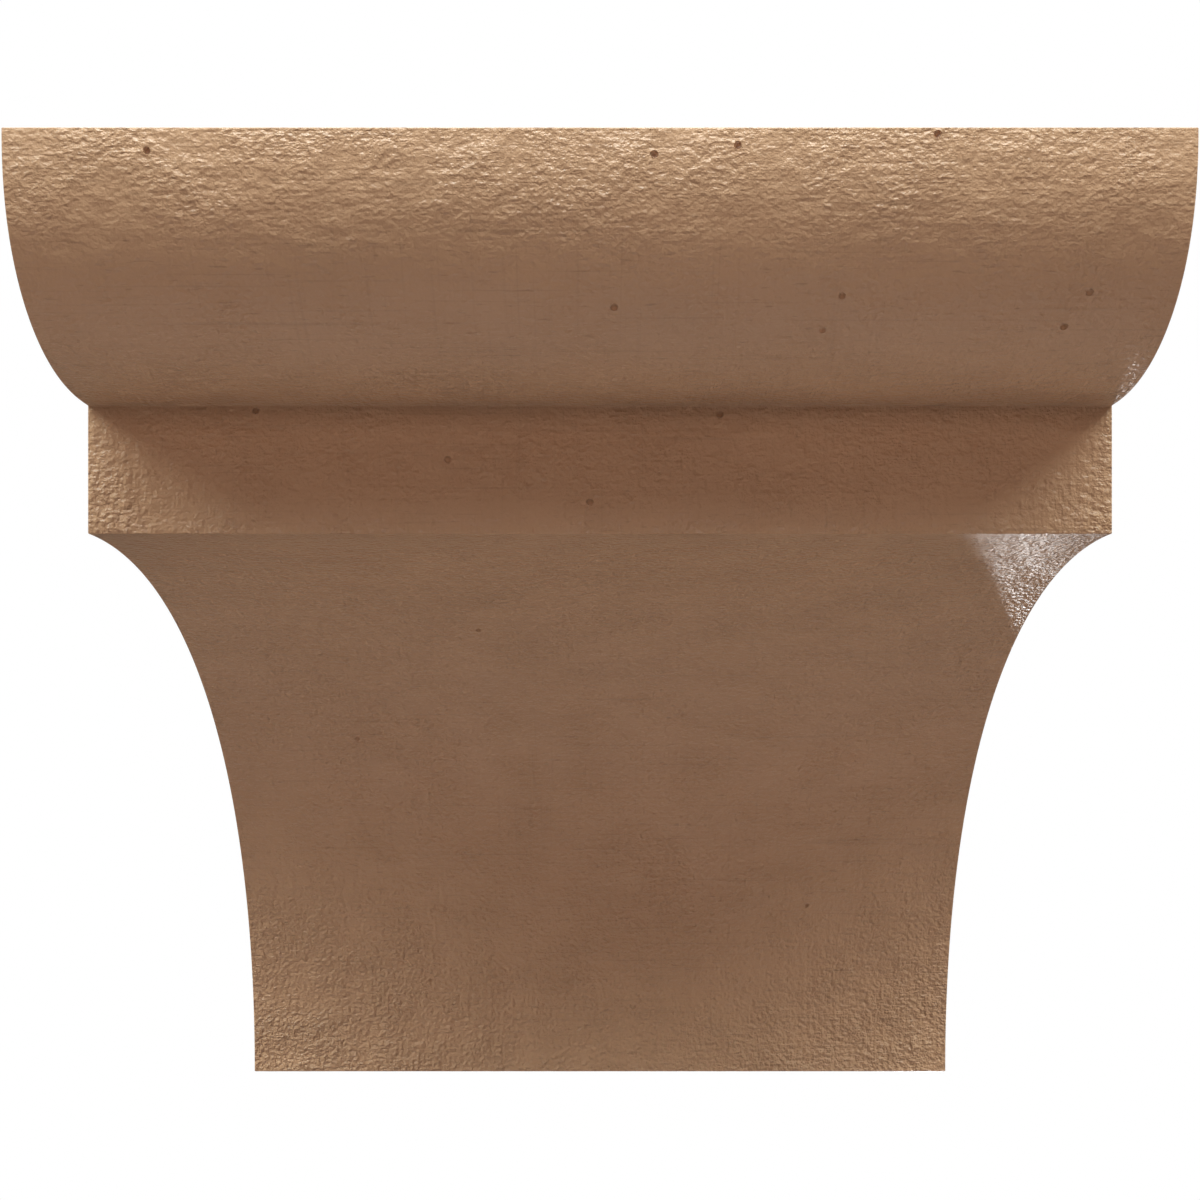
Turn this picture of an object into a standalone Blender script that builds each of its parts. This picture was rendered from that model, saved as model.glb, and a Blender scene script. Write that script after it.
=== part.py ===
# Moulded shelf corbel in faux timber: an ovolo and a fillet over one deep cove.
#
# Metres, +Z up. The origin is the middle of the back face, which lies on the wall at y = 0.
# The corbel stands out from the wall along -Y, and its width runs along X. It is one casting of
# rigid foam with the same side profile from one end of its width to the other.
import math

import bpy

INCH = 0.0254

# Driving dimensions
WIDTH = 8.0 * INCH
HEIGHT = 8.0 * INCH
DEPTH = 8.0 * INCH           # wall to the front of the ovolo
OVOLO_HEIGHT = 1.5 * INCH
OVOLO_DEPTH = 1.5 * INCH     # front of the ovolo back to the fillet
OVOLO_FULLNESS = 2.31        # 2 gives a plain quarter ellipse, more gives a fuller belly
FILLET_HEIGHT = 1.0 * INCH
COVE_DEPTH = 5.0 * INCH      # fillet back to the foot
ARRIS = 0.0008               # width of the worn edge of the casting

# Facets
OVOLO_SEGMENTS = 20
COVE_SEGMENTS = 28
ARRIS_SEGMENTS = 2
SHARP_ANGLE = math.radians(30)
WELD_DISTANCE = 0.00001

# Colour and finish of the factory primer, as linear red, green and blue
PRIMER_COLOUR = (0.31, 0.19, 0.12, 1.0)
PRIMER_ROUGHNESS = 0.55


def ovolo_points():
    """The ovolo from its top front edge down to the fillet, as (out from the wall, height)."""
    top = HEIGHT / 2
    power = 2 / OVOLO_FULLNESS
    points = []
    for step in range(OVOLO_SEGMENTS + 1):
        turn = math.pi / 2 * step / OVOLO_SEGMENTS
        drop = OVOLO_HEIGHT * math.sin(turn) ** power
        # cos of a right angle comes out a hair off zero, so its size is taken first
        back = OVOLO_DEPTH * (1 - abs(math.cos(turn)) ** power)
        points.append((DEPTH - back, top - drop))
    # the last point sits exactly on the fillet, whatever the rounding
    points[-1] = (DEPTH - OVOLO_DEPTH, top - OVOLO_HEIGHT)
    return points


def cove_points():
    """The quarter ellipse of the cove, level under the fillet and upright at the foot."""
    fillet_out = DEPTH - OVOLO_DEPTH
    cove_top = HEIGHT / 2 - OVOLO_HEIGHT - FILLET_HEIGHT
    cove_height = cove_top + HEIGHT / 2
    points = []
    for step in range(COVE_SEGMENTS + 1):
        turn = math.pi / 2 * step / COVE_SEGMENTS
        back = COVE_DEPTH * math.sin(turn)
        drop = cove_height * (1 - math.cos(turn))
        points.append((fillet_out - back, cove_top - drop))
    return points


def side_profile():
    """The whole side outline, from the top of the wall face round the front and back again."""
    wall_top = (0.0, HEIGHT / 2)
    wall_bottom = (0.0, -HEIGHT / 2)
    return [wall_top] + ovolo_points() + cove_points() + [wall_bottom]


def primer_material():
    """Tan factory primer on foam: a dull satin paint."""
    material = bpy.data.materials.new("tan_primer")
    material.use_nodes = True
    shader = material.node_tree.nodes["Principled BSDF"]
    shader.inputs["Base Color"].default_value = PRIMER_COLOUR
    shader.inputs["Roughness"].default_value = PRIMER_ROUGHNESS
    shader.inputs["Metallic"].default_value = 0.0
    return material


def make_corbel(collection):
    """The casting: the side profile as a flat curve, drawn out to the full width."""
    outline = bpy.data.curves.new("corbel", type="CURVE")
    outline.dimensions = "2D"
    outline.fill_mode = "BOTH"
    outline.extrude = WIDTH / 2
    profile = side_profile()
    spline = outline.splines.new("POLY")
    spline.points.add(len(profile) - 1)
    for point, (out, up) in zip(spline.points, profile):
        point.co = (out, up, 0.0, 1.0)
    spline.use_cyclic_u = True
    outline.materials.append(primer_material())

    corbel = bpy.data.objects.new("corbel", outline)
    # stands the outline up, with its own X pointing out from the wall
    corbel.rotation_euler = (math.pi / 2, 0.0, -math.pi / 2)
    collection.objects.link(corbel)

    weld = corbel.modifiers.new("Join caps", "WELD")
    weld.merge_threshold = WELD_DISTANCE
    arris = corbel.modifiers.new("Worn arrises", "BEVEL")
    arris.width = ARRIS
    arris.segments = ARRIS_SEGMENTS
    arris.limit_method = "ANGLE"
    arris.angle_limit = SHARP_ANGLE
    return corbel


for old in list(bpy.data.objects):
    bpy.data.objects.remove(old, do_unlink=True)

corbel_collection = bpy.data.collections.new("Corbel")
bpy.context.scene.collection.children.link(corbel_collection)
make_corbel(corbel_collection)
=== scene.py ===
# The looks of a moulded shelf corbel in tan-primed faux timber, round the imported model.
# Metres, +Z up. The wall is the plane y = 0 and the corbel stands out from it along -Y.
import math

import bpy
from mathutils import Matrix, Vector


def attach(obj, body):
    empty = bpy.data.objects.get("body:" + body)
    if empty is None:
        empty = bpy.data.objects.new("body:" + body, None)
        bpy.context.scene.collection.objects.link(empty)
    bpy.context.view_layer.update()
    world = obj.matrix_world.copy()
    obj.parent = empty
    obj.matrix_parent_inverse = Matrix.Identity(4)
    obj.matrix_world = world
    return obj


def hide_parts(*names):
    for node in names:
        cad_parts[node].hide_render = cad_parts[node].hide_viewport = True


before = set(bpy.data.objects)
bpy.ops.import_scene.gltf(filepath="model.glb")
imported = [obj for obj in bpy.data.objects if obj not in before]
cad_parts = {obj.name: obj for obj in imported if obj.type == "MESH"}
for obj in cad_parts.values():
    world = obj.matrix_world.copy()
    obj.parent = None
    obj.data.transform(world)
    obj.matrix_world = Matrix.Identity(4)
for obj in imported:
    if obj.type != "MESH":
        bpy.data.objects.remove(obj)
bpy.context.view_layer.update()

MM = 0.001
INCH = 0.0254


# The camera: a normal lens held level and square to the wall, opposite the middle of the
# corbel's height, and near enough for the foot to look much narrower than the ovolo.
WIDTH = 8 * INCH
HEIGHT = 8 * INCH
DEPTH = 8 * INCH
FRAME_PIXELS = 1200
FRONT_WIDTH_PIXELS = 1198.4      # the ovolo's width in the photograph
HORIZON_ROW = 726.0              # the row of the photograph that is level with the lens
LENS_PIXELS = 1326.0             # focal length, in pixels of the photograph
SENSOR = 36.0                    # in millimetres
NEAREST = 10 * MM                # what is nearer to the lens isn't drawn

camera_data = bpy.data.cameras.new("camera")
camera_data.sensor_width = SENSOR
camera_data.lens = SENSOR * LENS_PIXELS / FRAME_PIXELS
camera_data.shift_y = (HORIZON_ROW - FRAME_PIXELS / 2) / FRAME_PIXELS
camera_data.clip_start = NEAREST
camera = bpy.data.objects.new("camera", camera_data)
camera.location = (0, -DEPTH - LENS_PIXELS * WIDTH / FRONT_WIDTH_PIXELS, 0)
camera.rotation_euler = (math.radians(90), 0, 0)
bpy.context.scene.collection.objects.link(camera)
bpy.context.scene.camera = camera


# The casting: one block of rigid foam from a mould, with the same profile right across: an
# ovolo, a fillet, a long cove and a foot. Its top, back, underside and ends are flat, and its
# arrises are crisp. The moulded faces are a fine grid of cells, which the grain is pressed into.
OVOLO_HEIGHT = 1.5 * INCH
OVOLO_DEPTH = 1.5 * INCH
OVOLO_FULLNESS = 2.31            # 2 gives a plain quarter ellipse, more gives a fuller belly
FILLET_HEIGHT = 1.0 * INCH
COVE_DEPTH = 5.0 * INCH
COVE_HEIGHT = HEIGHT - OVOLO_HEIGHT - FILLET_HEIGHT
FOOT_DEPTH = DEPTH - OVOLO_DEPTH - COVE_DEPTH
CELLS_ACROSS = 276
CELL = WIDTH / CELLS_ACROSS
OVOLO_STEPS = 100
FILLET_STEPS = 40
COVE_STEPS = 180
EASE = 1.1                       # over 1, the steps are shorter where the face stands upright
WELD = 0.01 * MM
ARRIS = 0.25 * MM
SHARP = math.radians(30)         # an edge that turns by more is an arris
SMOOTH = math.radians(20)        # an edge that turns by less is shaded smooth


def ovolo_step(step):
    """Where the ovolo is after so many steps, as (back from the front, down from the top)."""
    turn = math.pi / 2 * (step / OVOLO_STEPS) ** EASE
    power = 2 / OVOLO_FULLNESS
    # cos of a right angle comes out a hair off zero, so its size is taken first
    back = OVOLO_DEPTH * (1 - abs(math.cos(turn)) ** power)
    return back, OVOLO_HEIGHT * math.sin(turn) ** power


def cove_step(step):
    """Where the cove is after so many steps, as (back from the fillet, down from it)."""
    turn = math.pi / 2 * (1 - (1 - step / COVE_STEPS) ** EASE)
    return COVE_DEPTH * math.sin(turn), COVE_HEIGHT * (1 - math.cos(turn))


def draw_out(path):
    """Extrudes the selected edges along a path of (back, down) places."""
    for (back, down), (next_back, next_down) in zip(path, path[1:]):
        move = (0, next_back - back, down - next_down)
        bpy.ops.mesh.extrude_edges_move(TRANSFORM_OT_translate={"value": move})


def finish_with(piece, kind, **settings):
    """Adds a modifier with these settings to the active piece and applies it."""
    modifier = piece.modifiers.new(kind, kind)
    for setting, value in settings.items():
        setattr(modifier, setting, value)
    bpy.ops.object.modifier_apply(modifier=modifier.name)


# The flat top of the leftmost strip, one cell wide
bpy.ops.object.select_all(action="DESELECT")
bpy.ops.mesh.primitive_plane_add(size=WIDTH,
                                 location=((CELL - WIDTH) / 2, -DEPTH / 2, HEIGHT / 2))
casting = bpy.context.object
casting.name = "corbel_casting"
casting.scale.x = CELL / WIDTH
bpy.ops.object.transform_apply()
bpy.ops.object.mode_set(mode="EDIT")
bpy.ops.mesh.select_all(action="DESELECT")
bpy.ops.object.mode_set(mode="OBJECT")

# The rest of the strip, from the top's front edge down the moulded faces and round to its back
for edge in casting.data.edges:
    ends = [casting.data.vertices[index].co for index in edge.vertices]
    edge.select = all(end.y < -DEPTH + MM for end in ends)
bpy.ops.object.mode_set(mode="EDIT")
bpy.ops.mesh.select_mode(type="EDGE")
draw_out([ovolo_step(step) for step in range(OVOLO_STEPS + 1)])
draw_out([(0, FILLET_HEIGHT * step / FILLET_STEPS) for step in range(FILLET_STEPS + 1)])
draw_out([cove_step(step) for step in range(COVE_STEPS + 1)])
draw_out([(0, 0), (FOOT_DEPTH, 0)])
draw_out([(0, 0), (0, -HEIGHT)])
bpy.ops.object.mode_set(mode="OBJECT")

# Strips side by side, welded together and closed by the two ends
finish_with(casting, "ARRAY", count=CELLS_ACROSS, use_merge_vertices=True, merge_threshold=WELD)
bpy.ops.object.mode_set(mode="EDIT")
bpy.ops.mesh.select_all(action="SELECT")
bpy.ops.mesh.remove_doubles(threshold=WELD)
bpy.ops.mesh.select_all(action="DESELECT")
bpy.ops.mesh.select_non_manifold()
bpy.ops.mesh.fill_holes(sides=0)
bpy.ops.mesh.select_all(action="SELECT")
bpy.ops.mesh.normals_make_consistent(inside=False)
bpy.ops.mesh.select_all(action="DESELECT")
bpy.ops.mesh.edges_select_sharp(sharpness=SHARP)
bpy.ops.mesh.bevel(offset=ARRIS, segments=2, affect="EDGES")
bpy.ops.object.mode_set(mode="OBJECT")

# The foam left a few pinholes in the front. All but one are where the photograph shows them, and
# the one at 44.4 is 3 mm up and left of its place.
PINHOLE_RADIUS = 0.75 * MM
PINHOLE_LIFT = 0.1 * MM          # how far out the middle of each round pit is
# Each is so many millimetres to the right of the casting's middle and above it
PINHOLES = ((-76.9, 97.6), (9.2, 97.0), (23.4, 98.5), (57.3, 100.4), (2.5, 73.9), (39.8, 70.9),
            (82.9, 71.3), (42.5, 75.5), (85.8, 76.0), (-68.2, 62.5), (23.8, 61.7), (-30.2, 52.8),
            (-2.0, 44.4), (-29.4, 23.1), (-64.8, -3.5), (59.4, -51.6), (-49.4, -74.5))


def front_at(height):
    """How far in front of the wall the moulded face is at a height above the middle."""
    down = min(max(HEIGHT / 2 - height, 0), HEIGHT)
    if down < OVOLO_HEIGHT:
        power = OVOLO_FULLNESS
        return DEPTH - OVOLO_DEPTH * (1 - (1 - (down / OVOLO_HEIGHT) ** power) ** (1 / power))
    down = max(down - OVOLO_HEIGHT - FILLET_HEIGHT, 0)
    return DEPTH - OVOLO_DEPTH - COVE_DEPTH * math.sqrt(1 - (1 - down / COVE_HEIGHT) ** 2)


pins = []
for across, height in PINHOLES:
    place = (across * MM, -front_at(height * MM) - PINHOLE_LIFT, height * MM)
    bpy.ops.mesh.primitive_ico_sphere_add(subdivisions=2, radius=PINHOLE_RADIUS, location=place)
    pins.append(bpy.context.object)
bpy.ops.object.select_all(action="DESELECT")
for pin in pins:
    pin.select_set(True)
bpy.ops.object.join()
pins = bpy.context.object
bpy.ops.object.select_all(action="DESELECT")
bpy.context.view_layer.objects.active = casting
finish_with(casting, "BOOLEAN", operation="DIFFERENCE", object=pins, solver="MANIFOLD")
bpy.data.objects.remove(pins)
casting.select_set(True)
bpy.ops.object.shade_smooth_by_angle(angle=SMOOTH)

# The mould was taken off rough-sawn board, so the moulded faces are crinkled by rounded lumps with
# creases between them, longer along the board, and by the saw's weaker ridges across it. Both fade
# out towards the arrises, which stay straight.
CRINKLE = 2.6 * MM
CRINKLE_DEPTH = 0.38 * MM
CRINKLE_STRETCH = 1.2
SAW = 2.2 * MM
SAW_DEPTH = 0.18 * MM
SAW_STRETCH = 4.0
FADE = 2.5 * MM
TOP_SHARE = 0.6                  # the relief above the cove as a share of the foot's


def press_in(piece, size, stretch, depth):
    """Presses lumps into the moulded faces, of a size that is stretched along X, Y and Z."""
    lumps = bpy.data.textures.new("lumps", "CLOUDS")
    lumps.noise_scale = 1
    lumps.noise_depth = 0
    bpy.ops.object.empty_add()
    guide = bpy.context.object
    guide.scale = [size * part for part in stretch]
    bpy.ops.object.select_all(action="DESELECT")
    bpy.context.view_layer.objects.active = piece
    finish_with(piece, "DISPLACE", texture=lumps, texture_coords="OBJECT",
                texture_coords_object=guide, strength=depth, mid_level=0.5,
                vertex_group="moulded")
    bpy.data.objects.remove(guide)


# Where the side profile turns sharply, as (Y, Z): the top, both sides of the fillet and the foot
corners = [(-DEPTH, HEIGHT / 2),
           (OVOLO_DEPTH - DEPTH, HEIGHT / 2 - OVOLO_HEIGHT),
           (OVOLO_DEPTH - DEPTH, COVE_HEIGHT - HEIGHT / 2),
           (-FOOT_DEPTH, -HEIGHT / 2)]
moulded = casting.vertex_groups.new(name="moulded")
for vertex in casting.data.vertices:
    across, out, up = vertex.co
    from_corners = [math.hypot(out - y, up - z) for y, z in corners]
    clear = min([WIDTH / 2 - abs(across), -out] + from_corners)
    share = 1 - (1 - TOP_SHARE) * min(max((up + HEIGHT / 2) / COVE_HEIGHT, 0), 1)
    moulded.add([vertex.index], share * min(clear / FADE, 1), "REPLACE")
press_in(casting, CRINKLE, (CRINKLE_STRETCH, 1, 1), CRINKLE_DEPTH)
press_in(casting, SAW, (1, 1, SAW_STRETCH), SAW_DEPTH)

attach(casting, "root")
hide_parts("corbel")


# Tan primer sprayed on rigid polyurethane foam: an even tan that is matt seen square on and has a
# soft gloss at a low angle.
# It follows the grain that is finer than the cells. Its colour is painted darker in short dashes
# and in lines along and across the board, as painted shade of narrow creases and saw cuts, and in
# broad faint patches, where its tone varies at random.
def linear(hex_colour):
    """A hex sRGB colour as linear red, green, blue and full alpha."""
    parts = [int(hex_colour[at:at + 2], 16) / 255 for at in (1, 3, 5)]
    return [part / 12.92 if part <= 0.04045 else ((part + 0.055) / 1.055) ** 2.4
            for part in parts] + [1]


def node(tree, kind, inputs, **settings):
    """Adds a node with these settings. Each input is given a value, or the output that feeds it."""
    made = tree.nodes.new(kind)
    for name, value in settings.items():
        setattr(made, name, value)
    for name, value in inputs.items():
        if isinstance(value, bpy.types.NodeSocket):
            tree.links.new(value, made.inputs[name])
        else:
            made.inputs[name].default_value = value
    return made.outputs


PRIMER = "#AD8263"
# A darker tan, painted into short dashes and lines as the shade of narrow creases and saw cuts, and
# into broad faint patches of tone
PAINTED_SHADE_AND_MOTTLE_TAN = "#5E4433"
PRIMER_ROUGHNESS = 0.30
# Each ridge: how long along the board, how wide down it, the height of its noise at the top and
# at the foot, where the grain is coarser, and its finer octaves
RIDGES = ((1.25 * MM, 0.85 * MM, 0.33 * MM, 0.20 * MM, 2.0),
          (1.2 * MM, 1.15 * MM, 0.27 * MM, 1.60 * MM, 2.0),
          (9.0 * MM, 0.6 * MM, 0.09 * MM, 0.22 * MM, 1.0),
          (1.2 * MM, 8.0 * MM, 0.24 * MM, 0.50 * MM, 2.0))
PATCH = 12 * MM                  # how far apart the rougher patches are
PATCH_START = 0.35               # the noise where a patch starts
PATCH_FULL = 0.65                # and where it is full
BETWEEN_PATCHES = 0.7            # the ridges' height there, as a share
WITHIN_PATCHES = 1.2
# Each mark: how long along the board, how wide down it, the noise where it starts and where it is
# full, and how far its colour goes to the darker tan. The first three are painted shade of narrow
# creases and saw cuts; the last is broad patches of tone that varies at random.
PAINTED_SHADE_AND_MOTTLE_MARKS = ((3.4 * MM, 0.65 * MM, 0.64, 0.76, 0.30),
         (45 * MM, 0.7 * MM, 0.60, 0.74, 0.16),
         (0.8 * MM, 45 * MM, 0.62, 0.75, 0.08),
         (30 * MM, 14 * MM, 0.35, 0.7, 0.07))

primer = bpy.data.materials.new("tan primer sprayed on polyurethane foam")
primer.use_nodes = True
tree = primer.node_tree
shader = tree.nodes["Principled BSDF"]
shader.inputs["Roughness"].default_value = PRIMER_ROUGHNESS
place = node(tree, "ShaderNodeTexCoord", {})["Object"]
up = node(tree, "ShaderNodeSeparateXYZ", {"Vector": place})["Z"]
height = 0.0
for long, wide, high_top, high_foot, octaves in RIDGES:
    high = node(tree, "ShaderNodeMapRange", {
        "Value": up, "From Min": HEIGHT / 2, "From Max": -HEIGHT / 2,
        "To Min": high_top, "To Max": high_foot})[0]
    sized = node(tree, "ShaderNodeMapping", {
        "Vector": place, "Scale": (1 / long, 1 / wide, 1 / wide)})[0]
    noise = node(tree, "ShaderNodeTexNoise", {
        "Vector": sized, "Scale": 1.0, "Detail": octaves})[0]
    height = node(tree, "ShaderNodeMath", {0: noise, 1: high, 2: height},
                  operation="MULTIPLY_ADD")[0]
broad = node(tree, "ShaderNodeTexNoise", {"Vector": place, "Scale": 1 / PATCH, "Detail": 1.0})[0]
rough = node(tree, "ShaderNodeMapRange", {
    "Value": broad, "From Min": PATCH_START, "From Max": PATCH_FULL,
    "To Min": BETWEEN_PATCHES, "To Max": WITHIN_PATCHES})[0]
height = node(tree, "ShaderNodeMath", {0: height, 1: rough}, operation="MULTIPLY")[0]
bump = node(tree, "ShaderNodeBump", {"Height": height, "Distance": 1.0})[0]
share = 0.0
for long, wide, start, full, most in PAINTED_SHADE_AND_MOTTLE_MARKS:
    sized = node(tree, "ShaderNodeMapping", {
        "Vector": place, "Scale": (1 / long, 1 / wide, 1 / wide)})[0]
    noise = node(tree, "ShaderNodeTexNoise", {"Vector": sized, "Scale": 1.0, "Detail": 2.0})[0]
    mark = node(tree, "ShaderNodeMapRange", {
        "Value": noise, "From Min": start, "From Max": full, "To Max": most})[0]
    share = node(tree, "ShaderNodeMath", {0: mark, 1: share}, operation="ADD")[0]
# The tan goes towards the darker tan in the marks: painted shade in the dashes and lines, tone
# varying at random in the broad patches
colour = node(tree, "ShaderNodeMixRGB", {
    "Fac": share, "Color1": linear(PRIMER), "Color2": linear(PAINTED_SHADE_AND_MOTTLE_TAN)})[0]
tree.links.new(colour, shader.inputs["Base Color"])
tree.links.new(bump, shader.inputs["Normal"])
casting.data.materials.clear()
casting.data.materials.append(primer)


# The stage: soft boxes high at the left and right, weaker ones overhead, in front and behind, a
# strip that only glints on the grain, and a small lamp low behind the right end that glares on
# the cove. A pale floor lies as far below as under a shelf on a wall.
COOL_WHITE = (0.79, 1.02, 1.05)
WARM_WHITE = (1.04, 0.93, 0.88)
WHITE = (1, 1, 1)
MIDDLE = (0, -0.1, 0)            # about the middle of the corbel
COVE_END = (0.09, -0.145, 0.03)  # near the top of the cove's right end


def lamp(name, colour, azimuth, elevation, distance, wide, high, strength, aim=MIDDLE):
    """A soft box that faces the corbel. Azimuth 0 is straight in front, and right is positive."""
    turn, rise = math.radians(azimuth), math.radians(elevation)
    way = Vector((math.sin(turn) * math.cos(rise),
                  -math.cos(turn) * math.cos(rise),
                  math.sin(rise)))
    light = bpy.data.lights.new(name, "AREA")
    light.shape = "RECTANGLE"
    light.size = wide
    light.size_y = high
    light.color = colour
    # strength is the light that falls on a face turned straight to the lamp
    light.energy = strength * math.pi * distance ** 2
    holder = bpy.data.objects.new(name, light)
    holder.location = Vector(aim) + way * distance
    holder.rotation_mode = "QUATERNION"
    holder.rotation_quaternion = way.to_track_quat("Z", "Y")
    holder.visible_camera = False
    bpy.context.scene.collection.objects.link(holder)
    return holder


# Each lamp: its colour, azimuth and elevation in degrees, how far away, how wide and how high it
# is in metres, and its strength
lamp("left softbox", COOL_WHITE, -72, 49, 1.6, 1.2, 1.1, 8.4).visible_glossy = False
lamp("right softbox", COOL_WHITE, 66, 54, 1.6, 1.2, 1.1, 7.8).visible_glossy = False
lamp("overhead softbox", COOL_WHITE, -10, 70, 1.6, 0.9, 0.6, 1.6)
lamp("front softbox", WARM_WHITE, 0, 10, 4.0, 2.4, 2.4, 0.98).visible_glossy = False
lamp("rear softbox", WHITE, 180, 20, 1.6, 1.2, 1.0, 1.6).visible_glossy = False
lamp("kicker", WHITE, 165.4, -28.7, 1.5, 0.07, 0.07, 0.40, aim=COVE_END)
lamp("glint strip", WHITE, 0, 52, 1.6, 1.4, 0.4, 1.8).visible_diffuse = False

# Only the camera sees the white backdrop at full strength
BACKDROP = 1.0
AMBIENT = 0.05

world = bpy.data.worlds.new("studio")
bpy.context.scene.world = world
world.use_nodes = True
tree = world.node_tree
backdrop = node(tree, "ShaderNodeBackground", {"Color": (1, 1, 1, 1), "Strength": BACKDROP})[0]
ambient = node(tree, "ShaderNodeBackground", {"Color": (1, 1, 1, 1), "Strength": AMBIENT})[0]
seen = node(tree, "ShaderNodeLightPath", {})["Is Camera Ray"]
sky = node(tree, "ShaderNodeMixShader", {"Fac": seen, 1: ambient, 2: backdrop})[0]
tree.links.new(sky, tree.nodes["World Output"].inputs["Surface"])
bpy.context.scene.view_settings.view_transform = "Standard"

FLOOR_SIZE = 2.4
FLOOR_HEIGHT = -1.0
FLOOR_PAINT = "#CBBDBC"
FLOOR_ROUGHNESS = 0.9

bpy.ops.object.select_all(action="DESELECT")
bpy.ops.mesh.primitive_plane_add(size=FLOOR_SIZE, location=(0, 0, FLOOR_HEIGHT))
floor = bpy.context.object
floor.name = "floor"
bpy.ops.object.transform_apply(location=True)
paint = bpy.data.materials.new("pale matt floor paint")
paint.use_nodes = True
shader = paint.node_tree.nodes["Principled BSDF"]
shader.inputs["Base Color"].default_value = linear(FLOOR_PAINT)
shader.inputs["Roughness"].default_value = FLOOR_ROUGHNESS
floor.data.materials.append(paint)
floor.visible_glossy = False
